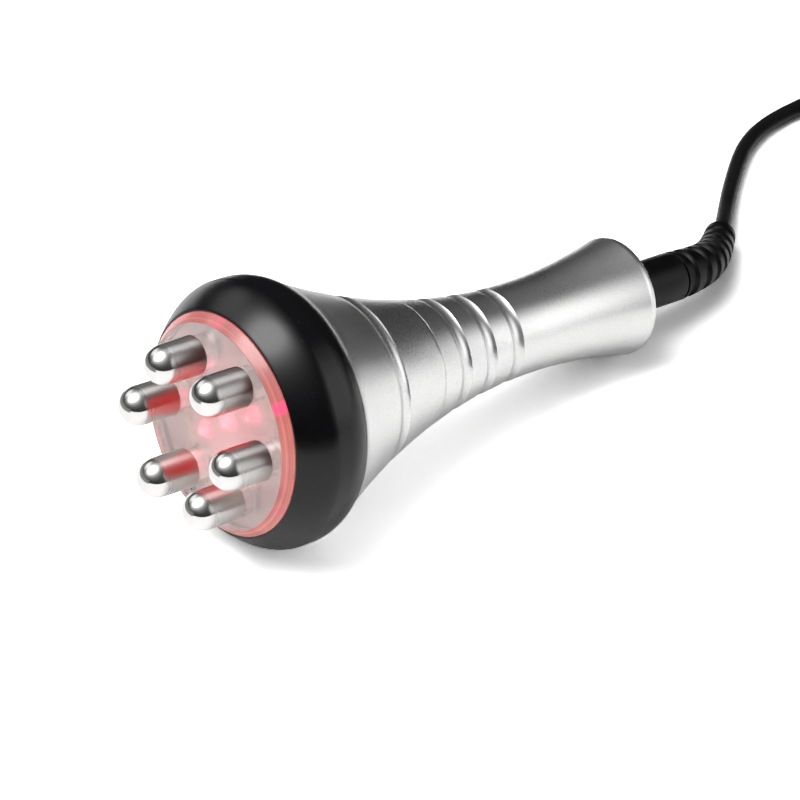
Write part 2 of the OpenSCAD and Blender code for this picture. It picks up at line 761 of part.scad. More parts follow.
// The rubber strain relief: a flange and neck in the rear wall, a collar, then tapering ribs
// along a bend that ends at the cable's first point on the floor.
relief_sides = 20;
bend_steps = 4 * rib_count;
bend_pull = 13;
tip_land = 1.2;
tip_break = 0.4;
collar_break = 0.4;
collar_land = 1;
tip_dir = unit(tip_heading);
collar_end = on_axis(handle_end + collar_len);
tip_start = tip_point - tip_land * tip_dir;
bend = cubic(collar_end, collar_end + bend_pull * axis_dir, tip_start - bend_pull * tip_dir,
    tip_start, bend_steps);
function taper_r(i) = (collar_d + (tip_d - collar_d) * i / bend_steps) / 2;
function rib_r(i) = taper_r(i) - ((i % 4 == 1 || i % 4 == 2) ? rib_depth : 0);
module strain_relief() {
    wall_in = handle_end - rear_wall_t;
    outside = handle_end + fit_gap;
    stem = [[flange_in_s, flange_d], [wall_in - eps, flange_d], [wall_in, neck_d],
        [outside - eps, neck_d], [outside, collar_d - 2 * collar_break],
        [outside + 2 * collar_break, collar_d], [handle_end + collar_len - collar_land, collar_d]];
    path = concat([for (p = stem) on_axis(p[0])], bend, [tip_point]);
    radii = concat([for (p = stem) p[1] / 2], [for (i = [0 : bend_steps]) rib_r(i)], [tip_d / 2 - tip_break]);
    color("#151516") swept(path, radii, relief_sides);
}

// The cable outside the handpiece.
module cord_run() {
    color("#131314") swept(run_path, [for (p = run_path) cord_r], cord_sides);
}

// The climb from one layer to the next takes the half turn round each reversal of the spiral.
function climbed(u) = total([for (k = [1 : coil_layers - 1])
    let (x = (u - k * turns_a_layer) / 0.5 + 0.5) x <= 0 ? 0 : x >= 1 ? 1 : eased(x)]);

// Distance in from the outermost turn: it grows in one layer and shrinks in the next.
function inward(u) = let (n = floor(u / turns_a_layer), part = u - n * turns_a_layer)
    coil_pitch * (n % 2 == 0 ? part : turns_a_layer - part);
settle = 0.2;
function coil_point(u) =
    let (r = coil_out_r - inward(u), w = 90 - 360 * u,
        rise = coil_lift * (u < settle ? eased(u / settle) : 1))
    [coil_x + r * cos(w), coil_y + r * sin(w), cord_r + rise + climbed(u) * coil_pitch];
coil_top = coil_point(coil_turns);
coil_path = concat(
    [coil_start],
    [for (i = [0 : coil_turns * coil_rings]) coil_point(i / coil_rings)],
    [for (i = [1 : tail_steps]) let (t = i / tail_steps)
        [plug_x, coil_top[1] - t * tail_len, coil_top[2] + (plug_z - coil_top[2]) * eased(t)]],
    [[plug_x, plug_y, plug_z]]
);

// Least free space of the cable to itself, over pairs of points more than half a turn apart.
apart = coil_rings / 2;
coil_least_gap = min([for (i = [0 : len(coil_path) - 1 - apart], j = [i + apart : len(coil_path) - 1])
    norm(coil_path[i] - coil_path[j])]) - cord_d;
echo(coil_least_gap = coil_least_gap);
run_path = concat([tip_point, tip_point + cord_d / 2 * tip_dir],
    [for (p = cord_points) rear_place + p], [coil_start - [cord_d, 0, 0], coil_start]);
function path_len(p) = total([for (i = [1 : len(p) - 1]) norm(p[i] - p[i - 1])]);
echo(cord_length = path_len(run_path) + path_len(coil_path));

module cord_coil() {
    color("#131314") swept(coil_path, [for (p = coil_path) cord_r], coil_sides);
}

// A strap round all the turns on the side of the coil that faces away from the cable's ends.
tie_angle = 200;
tie_room = 0.7;
module coil_tie() {
    inner_r = coil_out_r - turns_a_layer * coil_pitch - cord_r - tie_room;
    outer_r = coil_out_r + cord_r + tie_room;
    low = coil_lift;
    high = coil_top[2] + cord_r;
    size = [outer_r - inner_r, high - low];
    color("#202022") translate([coil_x, coil_y, 0]) rotate([0, 0, tie_angle])
        translate([inner_r, tie_w / 2, low]) rotate([90, 0, 0]) linear_extrude(tie_w) difference() {
            rounded([-tie_t, -tie_t], size + 2 * [tie_t, tie_t], 2 + tie_t);
            rounded([0, 0], size, 2);
        }
}

// A rectangle with round corners.
module rounded(at, size, r) {
    translate(at + [r, 0]) square([size[0] - 2 * r, size[1]]);
    translate(at + [0, r]) square([size[0], size[1] - 2 * r]);
    for (x = [r, size[0] - r], y = [r, size[1] - r]) translate(at + [x, y]) circle(r = r, $fn = 32);
}

// The plug, modelled round its own axis from the cable's end face forward.
module plugged() {
    translate([plug_x, plug_y, plug_z]) rotate([90, 0, 0]) children();
}

// A hollow cylinder between two places on the axis.
module sleeve(from, to, outer, inner) {
    translate([0, 0, from]) difference() {
        cylinder(r = outer, h = to - from);
        translate([0, 0, -eps]) cylinder(r = inner, h = to - from + 2 * eps);
    }
}

module plug_bush() {
    color("#161617") plugged() rotate_extrude() polygon([
        [0, 0], [bush_r - bush_break, 0], [bush_r, bush_break], [bush_r, back_at + back_wall],
        [bush_r + bush_step, back_at + back_wall], [bush_r + bush_step, bush_len], [0, bush_len]
    ]);
}

module plug_back_shell() {
    bore = back_shell_r - back_wall;
    color("#b4b7ba") plugged() {
        rotate_extrude() polygon([
            [bush_r + fit_gap, back_at], [back_shell_r - back_wall, back_at],
            [back_shell_r, back_at + collet_cone], [back_shell_r, back_front],
            [plug_shell_r + fit_gap, back_front],
            [plug_shell_r + fit_gap, back_front - shell_tail], [bore, back_front - shell_tail],
            [bore, back_at + back_wall], [bush_r + fit_gap, back_at + back_wall]
        ]);
        difference() {
            union() {
                translate([0, 0, clamp_at]) cylinder(r = clamp_r, h = back_at - clamp_at + eps);
                ears(-ear_t);
            }
            translate([0, 0, clamp_at - eps]) cylinder(r = bush_r + fit_gap, h = back_at);
            translate([-back_shell_r, 0, clamp_at - eps])
                cube([2 * back_shell_r, back_shell_r, clamp_len - clamp_at + fit_gap]);
            ear_holes();
        }
    }
}

// The ears of the cable clamp, on one side of its parting plane.
module ears(low) {
    for (x = [-ear_x, ear_x]) translate([x, low, (clamp_at + clamp_len) / 2]) rotate([-90, 0, 0])
        cylinder(r = ear_r, h = ear_t);
    translate([-ear_x, low, (clamp_at + clamp_len) / 2 - ear_r]) cube([2 * ear_x, ear_t, 2 * ear_r]);
}

module ear_holes() {
    for (x = [-ear_x, ear_x]) translate([x, -3 * ear_t, (clamp_at + clamp_len) / 2]) rotate([-90, 0, 0])
        cylinder(r = clamp_screw_r + fit_gap, h = 6 * ear_t);
}

module plug_clamp() {
    color("#b4b7ba") plugged() difference() {
        union() {
            intersection() {
                translate([0, 0, clamp_at]) cylinder(r = clamp_r, h = clamp_len - clamp_at);
                translate([-clamp_r, 0, 0]) cube([2 * clamp_r, clamp_r, clamp_len]);
            }
            ears(0);
        }
        translate([0, 0, clamp_at - eps]) cylinder(r = bush_r + fit_gap, h = clamp_len);
        ear_holes();
    }
}

module plug_clamp_screws() {
    color("#8e9194") plugged() for (x = [-ear_x, ear_x])
        translate([x, ear_t, (clamp_at + clamp_len) / 2]) rotate([-90, 0, 0]) difference() {
            union() {
                translate([0, 0, -2 * ear_t]) cylinder(r = clamp_screw_r, h = 2 * ear_t + eps);
                cylinder(r = clamp_head_r, h = clamp_head_h);
            }
            translate([-clamp_head_r - eps, -clamp_slot_w / 2, clamp_head_h / 2])
                cube([2 * clamp_head_r + 2 * eps, clamp_slot_w, clamp_head_h]);
        }
}

module plug_shell() {
    color("#c6c8cb") plugged() difference() {
        sleeve(back_front - shell_tail, plug_end, plug_shell_r, insert_r - insert_seat);
        translate([0, 0, plug_end - insert_recess - insert_len])
            cylinder(r = insert_r + fit_gap, h = insert_len + insert_recess + eps);
        sleeve(snap_at, snap_at + snap_t, snap_out_r, snap_in_r);
        translate([0, plug_shell_r, plug_end]) cube([key_w, 2 * key_depth, 2 * key_len], center = true);
    }
}

module plug_insert() {
    color("#17181a") plugged() difference() {
        translate([0, 0, plug_end - insert_recess - insert_len]) cylinder(r = insert_r, h = insert_len);
        around(contact_count, 90, contact_circle_r)
            translate([0, 0, plug_end - insert_recess - insert_len - eps])
            cylinder(r = contact_r, h = insert_len + 2 * eps);
    }
}

module plug_contacts() {
    color("#d4b25a") plugged() around(contact_count, 90, contact_circle_r)
        sleeve(plug_end - insert_recess - insert_len - contact_tail, plug_end - insert_recess,
            contact_r, contact_bore_r);
}

module snap_ring() {
    color("#8e9194") plugged() difference() {
        sleeve(snap_at, snap_at + snap_t, snap_out_r, snap_in_r);
        translate([-snap_slot_w / 2, 0, snap_at - eps])
            cube([snap_slot_w, 2 * plug_shell_r, snap_t + 2 * eps]);
    }
}

// The coupling ring turns on the shell between the back shell and the snap ring.
module coupling_ring() {
    r = coupling_d / 2;
    color("#c6c8cb") plugged() difference() {
        rotate_extrude() polygon([
            [ring_flange_r, ring_at], [r - ring_break, ring_at], [r, ring_at + ring_break],
            [r, ring_at + coupling_len - ring_break], [r - ring_break, ring_at + coupling_len],
            [coupling_thread_d / 2, ring_at + coupling_len],
            [coupling_thread_d / 2, ring_at + ring_flange_t], [ring_flange_r, ring_at + ring_flange_t]
        ]);
        for (i = [0 : knurl_count - 1]) rotate([0, 0, 360 * i / knurl_count])
            translate([r + knurl_r / 2, 0, ring_at + knurl_end])
                cylinder(r = knurl_r, h = coupling_len - 2 * knurl_end, $fn = 16);
    }
}

bezel();
front_plate();
plate_gasket();
electrode(1);  // electrode_1
electrode(2);  // electrode_2
electrode(3);  // electrode_3
electrode(4);  // electrode_4
electrode(5);  // electrode_5
electrode(6);  // electrode_6
electrode_screws();
electrode_washers();
contact_strip_a();
contact_strip_b();
carrier_disc();
led(1);  // led_1
led(2);  // led_2
led(3);  // led_3
led(4);  // led_4
led(5);  // led_5
led(6);  // led_6
led(7);  // led_7
light_board();
board_screws();
led_resistors();
board_socket();
led_plug();
front_shell();
rear_shell();
wire_terminals();
rf_wire_a();
rf_wire_b();
led_wires();
heat_shrink();
inner_cable();
pull_tie();
strain_relief();
cord_run();
cord_coil();
coil_tie();
plug_bush();
plug_back_shell();
plug_clamp();
plug_clamp_screws();
plug_shell();
plug_insert();
plug_contacts();
snap_ring();
coupling_ring();
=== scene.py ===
import math
import bpy
import bmesh
from mathutils import Matrix, Vector
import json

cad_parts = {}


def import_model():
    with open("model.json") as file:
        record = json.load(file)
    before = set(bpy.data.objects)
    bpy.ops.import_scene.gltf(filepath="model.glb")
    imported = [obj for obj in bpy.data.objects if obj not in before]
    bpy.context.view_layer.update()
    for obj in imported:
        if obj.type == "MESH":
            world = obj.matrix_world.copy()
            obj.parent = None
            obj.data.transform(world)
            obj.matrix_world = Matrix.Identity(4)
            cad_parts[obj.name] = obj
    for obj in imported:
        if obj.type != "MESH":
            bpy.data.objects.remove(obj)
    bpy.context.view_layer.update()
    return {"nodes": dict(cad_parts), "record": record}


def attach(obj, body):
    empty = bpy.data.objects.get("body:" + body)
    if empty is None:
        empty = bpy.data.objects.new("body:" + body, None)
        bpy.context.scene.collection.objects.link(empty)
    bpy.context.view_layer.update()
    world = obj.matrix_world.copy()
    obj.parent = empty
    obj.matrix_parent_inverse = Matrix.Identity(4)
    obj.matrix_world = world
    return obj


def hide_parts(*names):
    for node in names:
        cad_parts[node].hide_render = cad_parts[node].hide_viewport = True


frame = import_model()
scene = bpy.context.scene
scene.view_settings.view_transform = "Standard"
MM = 0.001
BODY = "handpiece"

# The handpiece's axis. A station is a distance in millimetres behind the clear plate's face.
FACE = Vector((-58.1887, 0.0, 36.0764))
AXIS = Vector((0.987465, 0.0, -0.157835))
TILT = math.radians(9.08126)
LYING = Matrix.Translation(FACE * MM) @ Matrix.Rotation(math.pi / 2 + TILT, 4, "Y")

# Electrodes: their circle and its turn in degrees, radii, and the stations of nose and foot.
ELECTRODES = 6
ELECTRODE_TURN = 26.5
ELECTRODE_CIRCLE_R = 18.1
ELECTRODE_R = 5
SHANK_R = 4.6
DOME_AT = -9.2
STRIP_AT = 7.6

# Diodes: the ring's count, turn and circle, and the stations of all tips and bases.
RING_LEDS = 6
LED_TURN = 51.5
LED_CIRCLE_R = 10.3
LED_TIP = 6.5
LED_BASE = 15.1


def on_axis(station):
    return FACE + AXIS * station


def on_circle(radius, degrees, station=0.0):
    """A place round the axis, in metres, before LYING lays it down."""
    angle = math.radians(degrees)
    return Vector((radius * math.cos(angle), radius * math.sin(angle), station)) * MM


def electrode_place(i):
    turn = ELECTRODE_TURN + 360 / ELECTRODES * i
    return LYING @ Matrix.Translation(on_circle(ELECTRODE_CIRCLE_R, turn))


# Camera, fitted to the photograph's outlines.
CAMERA_AT = Vector((-495.24, -606.71, 621.93))
CAMERA_BACK = Vector((-0.49983, -0.61293, 0.61196)).normalized()
CAMERA_RIGHT = Vector((0.775, -0.632, 0.0)).normalized()
CAMERA_LENS = 177.58
SENSOR = 36


def make_camera():
    data = bpy.data.cameras.new("camera")
    data.sensor_width = SENSOR
    data.lens = CAMERA_LENS
    data.clip_start = 0.01
    data.clip_end = 100
    right = (CAMERA_RIGHT - CAMERA_BACK * CAMERA_RIGHT.dot(CAMERA_BACK)).normalized()
    up = CAMERA_BACK.cross(right)
    turn = Matrix((right, up, CAMERA_BACK)).transposed().to_4x4()
    camera = bpy.data.objects.new("camera", data)
    scene.collection.objects.link(camera)
    camera.matrix_world = Matrix.Translation(CAMERA_AT * MM) @ turn
    scene.camera = camera


make_camera()


# Materials.
class Nodes:
    """The node tree of a material or world. Its calls take and return sockets."""

    def __init__(self, owner, output="OutputMaterial"):
        owner.use_nodes = True
        self.owner = owner
        self.tree = owner.node_tree
        self.tree.nodes.clear()
        self.out = self.add(output)
        self.coord = self.add("TexCoord").outputs["Object"]

    def add(self, kind, **inputs):
        node = self.tree.nodes.new("ShaderNode" + kind)
        for key, value in inputs.items():
            self.put(node.inputs[key.replace("_", " ")], value)
        return node

    def put(self, socket, value):
        if isinstance(value, bpy.types.NodeSocket):
            self.tree.links.new(value, socket)
        else:
            socket.default_value = value

    def math(self, kind, a, b=0.0):
        node = self.add("Math")
        node.operation = kind
        self.put(node.inputs[0], a)
        self.put(node.inputs[1], b)
        return node.outputs[0]

    def vector(self, kind, a, b=None, out="Vector"):
        node = self.add("VectorMath")
        node.operation = kind
        self.put(node.inputs[0], a)
        if b is not None:
            self.put(node.inputs[1], b)
        return node.outputs[out]

    def dot(self, a, b):
        return self.vector("DOT_PRODUCT", a, b, "Value")

    def length(self, a):
        return self.vector("LENGTH", a, out="Value")

    def offset(self):
        """The way from the middle of the plate's face, in metres."""
        return self.vector("SUBTRACT", self.coord, FACE * MM)

    def station(self):
        return self.math("MULTIPLY", self.dot(self.offset(), AXIS), 1 / MM)

    def reach(self):
        """Distance from the handpiece's axis, in metres."""
        return self.length(self.vector("CROSS_PRODUCT", self.offset(), AXIS))

    def split(self):
        """The three parts of the object coordinates."""
        return self.add("SeparateXYZ", Vector=self.coord).outputs

    def along(self, value):
        """A vector for noise that varies one way only."""
        return self.add("CombineXYZ", X=value).outputs["Vector"]

    def noise(self, scale, detail, vector=None):
        node = self.add("TexNoise", Scale=scale, Detail=detail, Roughness=0.55)
        self.put(node.inputs["Vector"], self.coord if vector is None else vector)
        return node.outputs["Fac"]

    def ramp(self, value, low, high, to_low=0.0, to_high=1.0):
        node = self.add("MapRange", Value=value, From_Min=low, From_Max=high,
                        To_Min=to_low, To_Max=to_high)
        return node.outputs["Result"]

    def mix(self, factor, a, b):
        node = self.add("Mix")
        node.data_type = "RGBA"
        self.put(node.inputs[0], factor)
        self.put(node.inputs[6], a)
        self.put(node.inputs[7], b)
        return node.outputs[2]

    def bump(self, height, strength, distance):
        node = self.add("Bump", Height=height, Strength=strength, Distance=distance * MM)
        return node.outputs["Normal"]

    def shader(self, **inputs):
        return self.add("BsdfPrincipled", **inputs).outputs["BSDF"]

    def glow(self, colour, strength):
        return self.add("Emission", Color=colour, Strength=strength).outputs[0]

    def either(self, factor, a, b):
        """Shader a where the factor is 0, shader b where it is 1."""
        node = self.add("MixShader")
        self.put(node.inputs[0], factor)
        self.put(node.inputs[1], a)
        self.put(node.inputs[2], b)
        return node.outputs[0]

    def end(self, shader):
        self.tree.links.new(shader, self.out.inputs["Surface"])
        return self.owner


# Every finish by its slot's name. The frame's own materials keep the plain names in Blender.
MATERIALS = {}


def material(name):
    n = Nodes(bpy.data.materials.new(name))
    MATERIALS[name] = n.owner
    return n


def rgb(r, g, b):
    return (r, g, b, 1.0)


def grey(tone):
    return rgb(tone, tone, tone)


def surface(name, colour, other, rough, spread, scale, bump, metal=0.0, coat=0.0, mottle=None):
    """A plain-coloured surface with a little unevenness in colour, roughness and height."""
    n = material(name)
    broad = n.noise(mottle or scale / 12, 2.0)
    fine = n.noise(scale, 4.0)
    return n.end(n.shader(
        Base_Color=n.mix(n.ramp(broad, 0.35, 0.65), rgb(*colour), rgb(*other)),
        Roughness=n.ramp(fine, 0.3, 0.7, rough - spread, rough + spread),
        Metallic=metal, Coat_Weight=coat, Coat_Roughness=0.05, Normal=n.bump(fine, 0.5, bump)))


def bezel_black():
    """Polished black moulding with a thin film of wear and a few specks of dust."""
    n = material("bezel_black")
    dust = n.ramp(n.noise(900, 2.0), 0.66, 0.8)
    film = n.ramp(n.noise(60, 3.0), 0.3, 0.7, 0.2, 0.26)
    return n.end(n.shader(
        Base_Color=n.mix(dust, rgb(0.0016, 0.0015, 0.0022), rgb(0.009, 0.0087, 0.0098)),
        Roughness=n.math("ADD", film, n.math("MULTIPLY", dust, 0.08)),
        IOR=1.5, Specular_IOR_Level=0.32, Normal=n.bump(n.noise(140, 2.0), 0.2, 0.02)))


def clear_plate():
    """Clear acrylic with a slight haze inside and a polished skin. Light passes it without caustics."""
    n = material("clear_plate")
    haze = n.ramp(n.noise(120, 3.0), 0.35, 0.7, 0.16, 0.22)
    glass = n.shader(Base_Color=rgb(0.93, 0.80, 0.77), Roughness=haze, IOR=1.49,
                     Transmission_Weight=0.84, Coat_Weight=1.0, Coat_Roughness=0.03,
                     Normal=n.bump(n.noise(500, 2.0), 0.15, 0.01))
    clear = n.add("BsdfTransparent", Color=rgb(0.97, 0.9, 0.89)).outputs[0]
    return n.end(n.either(n.add("LightPath").outputs["Is Shadow Ray"], glass, clear))


def plate_edge():
    """The plate's bevel and rim. Their colour glows as painted light for the diodes' piped red light,
    brightest beside the ring's, with painted shade along the top.
    """
    n = material("plate_edge")
    down, side = LYING.col[0].to_3d(), LYING.col[1].to_3d()
    turn = n.math("ARCTAN2", n.dot(n.offset(), side), n.dot(n.offset(), down))
    from_led = n.math("SUBTRACT", turn, math.radians(LED_TURN))
    ray = n.math("COSINE", n.math("MULTIPLY", from_led, RING_LEDS))
    near = n.math("COSINE", n.math("SUBTRACT", turn, math.radians(LED_TURN + 180)))
    # Painted glow spots beside the ring's diodes, stronger on one side.
    painted_glow_spot = n.math("MULTIPLY", n.ramp(ray, 0.9, 1.0), n.ramp(near, 0.7, 1.0, 0.2, 0.9))
    # Painted shade: the bevel's colour darkens towards the top.
    top = n.ramp(n.math("COSINE", turn), -0.25, -0.9, 0.0, 0.6)
    lines = n.noise(1.6, 2.0, vector=n.along(n.station()))
    patches = n.ramp(n.noise(70, 2.0), 0.4, 0.7, 0.0, 0.6)
    tone = n.mix(n.ramp(lines, 0.3, 0.7), rgb(0.50, 0.13, 0.11), rgb(0.76, 0.29, 0.25))
    tone = n.mix(patches, tone, rgb(0.34, 0.05, 0.06))
    tone = n.mix(top, tone, rgb(0.26, 0.07, 0.075))
    tone = n.mix(painted_glow_spot, tone, rgb(1.0, 0.10, 0.24))
    # The whole bevel glows with its own colour, as painted light.
    return n.end(n.shader(Base_Color=tone, Roughness=n.ramp(lines, 0.3, 0.7, 0.12, 0.3),
                          Transmission_Weight=0.35, IOR=1.49,
                          Emission_Color=tone, Emission_Strength=0.3))


def electrode_metal():
    """Steel: fine turned rings spread the rod's reflections lengthwise, and the nose is polished."""
    n = material("electrode_metal")
    station = n.split()["Z"]
    rod = n.ramp(station, (DOME_AT - 1.6) * MM, (DOME_AT + 0.1) * MM)
    rings = n.noise(1500, 3.0, vector=n.along(station))
    smear = n.noise(110, 3.0)
    rough = n.math("ADD", n.math("MULTIPLY", rod, n.ramp(rings, 0.3, 0.7, 0.18, 0.24)),
                   n.ramp(smear, 0.35, 0.8, 0.07, 0.13))
    colour = n.mix(n.ramp(smear, 0.4, 0.7), rgb(0.72, 0.715, 0.705), rgb(0.62, 0.61, 0.60))
    colour = n.mix(n.math("MULTIPLY", rod, 0.55), colour, rgb(0.42, 0.41, 0.40))
    tangent = n.add("Tangent")
    tangent.direction_type = "RADIAL"
    tangent.axis = "Z"
    return n.end(n.shader(Base_Color=colour, Metallic=1.0, Roughness=rough, Anisotropic=1.0,
                          Anisotropic_Rotation=0.25, Tangent=tangent.outputs[0],
                          Normal=n.bump(rings, 0.12, 0.01)))


def handle_silver():
    """Satin metallic coat: fine flakes and a slow change of gloss."""
    n = material("handle_silver")
    flake = n.noise(5200, 2.0)
    broad = n.noise(28, 3.0)
    colour = n.mix(n.ramp(flake, 0.38, 0.66), rgb(0.63, 0.63, 0.625), rgb(0.78, 0.78, 0.775))
    colour = n.mix(n.ramp(broad, 0.5, 0.8, 0.0, 0.2), colour, grey(0.60))
    rough = n.math("ADD", n.ramp(flake, 0.3, 0.7, 0.27, 0.36),
                   n.ramp(broad, 0.4, 0.7, -0.02, 0.03))
    return n.end(n.shader(Base_Color=colour, Metallic=1.0, Roughness=rough,
                          Normal=n.bump(flake, 0.12, 0.02)))


def led_red():
    """A lit diode, palest at its tip, with tinned leads."""
    n = material("led_red")
    station = n.station()
    leads = n.math("GREATER_THAN", station, LED_BASE + 0.05)
    core = n.ramp(station, LED_TIP + 2.5, LED_TIP + 0.1)
    speck = n.noise(1500, 2.0)
    tone = n.mix(core, rgb(0.80, 0.10, 0.18), rgb(1.0, 0.28, 0.43))
    tone = n.mix(n.ramp(speck, 0.45, 0.8, 0.0, 0.3), tone, rgb(1.0, 0.60, 0.68))
    return n.end(n.shader(Base_Color=n.mix(leads, tone, rgb(0.72, 0.72, 0.7)), Metallic=leads,
                          Roughness=n.ramp(speck, 0.3, 0.7, 0.08, 0.25),
                          Emission_Color=n.mix(leads, tone, grey(0.0)), Emission_Strength=0.85))


def relief_rubber():
    n = material("relief_rubber")
    fine = n.noise(2600, 4.0)
    dust = n.ramp(n.noise(260, 4.0), 0.55, 0.8)
    colour = n.mix(dust, rgb(0.0012, 0.0012, 0.0015), rgb(0.0055, 0.0052, 0.0052))
    return n.end(n.shader(Base_Color=colour, Roughness=n.ramp(fine, 0.3, 0.7, 0.28, 0.40),
                          Specular_IOR_Level=0.15, Normal=n.bump(fine, 0.35, 0.03)))


def cable_black():
    n = material("cable_black")
    fine = n.noise(1800, 4.0)
    wear = n.ramp(n.noise(90, 3.0), 0.5, 0.8)
    colour = n.mix(wear, rgb(0.004, 0.004, 0.0045), rgb(0.008, 0.0075, 0.0075))
    return n.end(n.shader(Base_Color=colour, Roughness=n.ramp(fine, 0.3, 0.7, 0.36, 0.5),
                          Specular_IOR_Level=0.25, Normal=n.bump(fine, 0.3, 0.025)))


def strap_black():
    """Woven hook tape with a little fuzz."""
    n = material("strap_black")
    weave = n.add("TexWave", Scale=700, Distortion=0.6, Detail=1.0, Vector=n.coord)
    weave.bands_direction = "Z"
    fuzz = n.noise(3000, 3.0)
    height = n.math("ADD", weave.outputs["Fac"], n.math("MULTIPLY", fuzz, 0.6))
    colour = n.mix(n.ramp(fuzz, 0.35, 0.7), rgb(0.012, 0.012, 0.013), rgb(0.035, 0.035, 0.036))
    return n.end(n.shader(Base_Color=colour, Roughness=n.ramp(fuzz, 0.3, 0.7, 0.75, 0.95),
                          Sheen_Weight=0.4, Sheen_Roughness=0.4,
                          Normal=n.bump(height, 0.6, 0.12)))


def plug_metal():
    """Nickel plate over turned metal. The plug lies along Y, so its tool marks are narrow in Y."""
    n = material("plug_metal")
    turned = n.add("Mapping", Vector=n.coord, Scale=(1, 14, 1)).outputs["Vector"]
    fine = n.noise(420, 4.0, vector=turned)
    broad = n.noise(110, 3.0)
    colour = n.mix(n.ramp(broad, 0.4, 0.7), grey(0.62), rgb(0.52, 0.52, 0.53))
    return n.end(n.shader(Base_Color=colour, Metallic=1.0,
                          Roughness=n.ramp(fine, 0.3, 0.7, 0.22, 0.36),
                          Normal=n.bump(fine, 0.25, 0.02)))


def carrier_white():
    """White moulding, with the diodes' pink light painted into its colour round the middle, where they
    stand in it.
    """
    n = material("carrier_white")
    fine = n.noise(1400, 3.0)
    broad = n.noise(60, 3.0)
    # Painted light: pinker towards the axis, as if lit by the diodes.
    painted_diode_light = n.ramp(n.reach(), 17 * MM, 9 * MM, 0.0, 0.75)
    colour = n.mix(n.ramp(broad, 0.35, 0.65), rgb(0.78, 0.72, 0.7), rgb(0.72, 0.62, 0.6))
    colour = n.mix(painted_diode_light, colour, rgb(0.86, 0.36, 0.42))
    return n.end(n.shader(Base_Color=colour, Roughness=n.ramp(fine, 0.3, 0.7, 0.4, 0.55),
                          Normal=n.bump(fine, 0.2, 0.02)))


for make in (bezel_black, clear_plate, plate_edge, electrode_metal, carrier_white, led_red,
             handle_silver, cable_black, relief_rubber, strap_black, plug_metal):
    make()

# Name, two colours, roughness and its spread, grain per metre and the grain's height in millimetres.
surface("gasket_white", (0.78, 0.72, 0.70), (0.68, 0.60, 0.58), 0.75, 0.1, 2400, 0.05)
surface("screw_steel", (0.62, 0.62, 0.62), (0.5, 0.5, 0.51), 0.28, 0.1, 900, 0.02, metal=1.0)
surface("contact_brass", (0.62, 0.40, 0.17), (0.50, 0.30, 0.12), 0.3, 0.12, 700, 0.02, metal=1.0)
surface("terminal_tin", (0.66, 0.65, 0.62), (0.55, 0.54, 0.52), 0.35, 0.12, 900, 0.02, metal=1.0)
surface("board_green", (0.018, 0.10, 0.04), (0.03, 0.16, 0.06), 0.32, 0.1, 900, 0.02,
        coat=0.5, mottle=260)
surface("resistor_blue", (0.06, 0.17, 0.36), (0.09, 0.24, 0.42), 0.4, 0.1, 1500, 0.03, mottle=700)
surface("socket_ivory", (0.72, 0.68, 0.56), (0.66, 0.61, 0.49), 0.5, 0.1, 1500, 0.03)
surface("wire_red", (0.45, 0.02, 0.02), (0.36, 0.015, 0.015), 0.42, 0.1, 1800, 0.02)
surface("wire_black", (0.012, 0.012, 0.012), (0.02, 0.02, 0.02), 0.42, 0.1, 1800, 0.02)
surface("wire_yellow", (0.65, 0.45, 0.04), (0.55, 0.37, 0.03), 0.42, 0.1, 1800, 0.02)
surface("tie_nylon", (0.68, 0.68, 0.64), (0.6, 0.6, 0.56), 0.45, 0.12, 1800, 0.03)
surface("insert_black", (0.012, 0.012, 0.013), (0.022, 0.022, 0.023), 0.5, 0.12, 1500, 0.03)
surface("contact_gold", (0.82, 0.60, 0.26), (0.74, 0.52, 0.22), 0.2, 0.08, 1200, 0.01, metal=1.0)

NODE_SLOT = {row["node"]: row["material_slot"] for row in frame["record"]["subparts"]}
for name, node in frame["nodes"].items():
    node.data.materials.clear()
    node.data.materials.append(MATERIALS[NODE_SLOT[name]])


# Mesh helpers. Outlines of turned pieces are (station, radius) in millimetres.
def link(name, data):
    piece = bpy.data.objects.new(name, data)
    scene.collection.objects.link(piece)
    return piece


def smooth(mesh, angle):
    """Shades smooth, but for edges sharper than the angle."""
    mesh.shade_smooth()
    mesh.set_sharp_from_angle(angle=math.radians(angle))


def to_mesh(bm, name):
    mesh = bpy.data.meshes.new(name)
    bm.to_mesh(mesh)
    bm.free()
    return mesh


def closed_mesh(bm, name):
    bmesh.ops.recalc_face_normals(bm, faces=bm.faces)
    return to_mesh(bm, name)


def dressed(piece, slot, *nodes):
    """Gives a piece its finish, the CAD nodes it stands for and the body it rides on."""
    if not piece.data.materials:
        piece.data.materials.append(MATERIALS[slot])
    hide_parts(*nodes)
    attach(piece, BODY)
    return piece


def vectors(*pairs):
    return [Vector(pair) for pair in pairs]


def cubic(a, b, c, d, t):
    """A point of the curve from a to d that b and c pull at."""
    u = 1 - t
    return a * u ** 3 + b * 3 * u * u * t + c * 3 * u * t * t + d * t ** 3


def eased(t):
    """From 0 to 1 with a soft start and end."""
    return t * t * (3 - 2 * t)


def rounded_line(points, radii, steps):
    """A closed outline whose corners are rounded where a radius is given."""
    line = []
    for i, point in enumerate(points):
        here = Vector(point)
        if i not in radii:
            line.append(here)
            continue
        before = (Vector(points[i - 1]) - here).normalized()
        after = (Vector(points[(i + 1) % len(points)]) - here).normalized()
        half = before.angle(after) / 2
        reach = radii[i] / math.tan(half)
        centre = here + (before + after).normalized() * radii[i] / math.sin(half)
        start = here + before * reach - centre
        end = here + after * reach - centre
        turn = start.angle(end)
        for k in range(steps + 1):
            a = k / steps
            spoke = start * math.sin((1 - a) * turn) + end * math.sin(a * turn)
            line.append(centre + spoke / math.sin(turn))
    return line


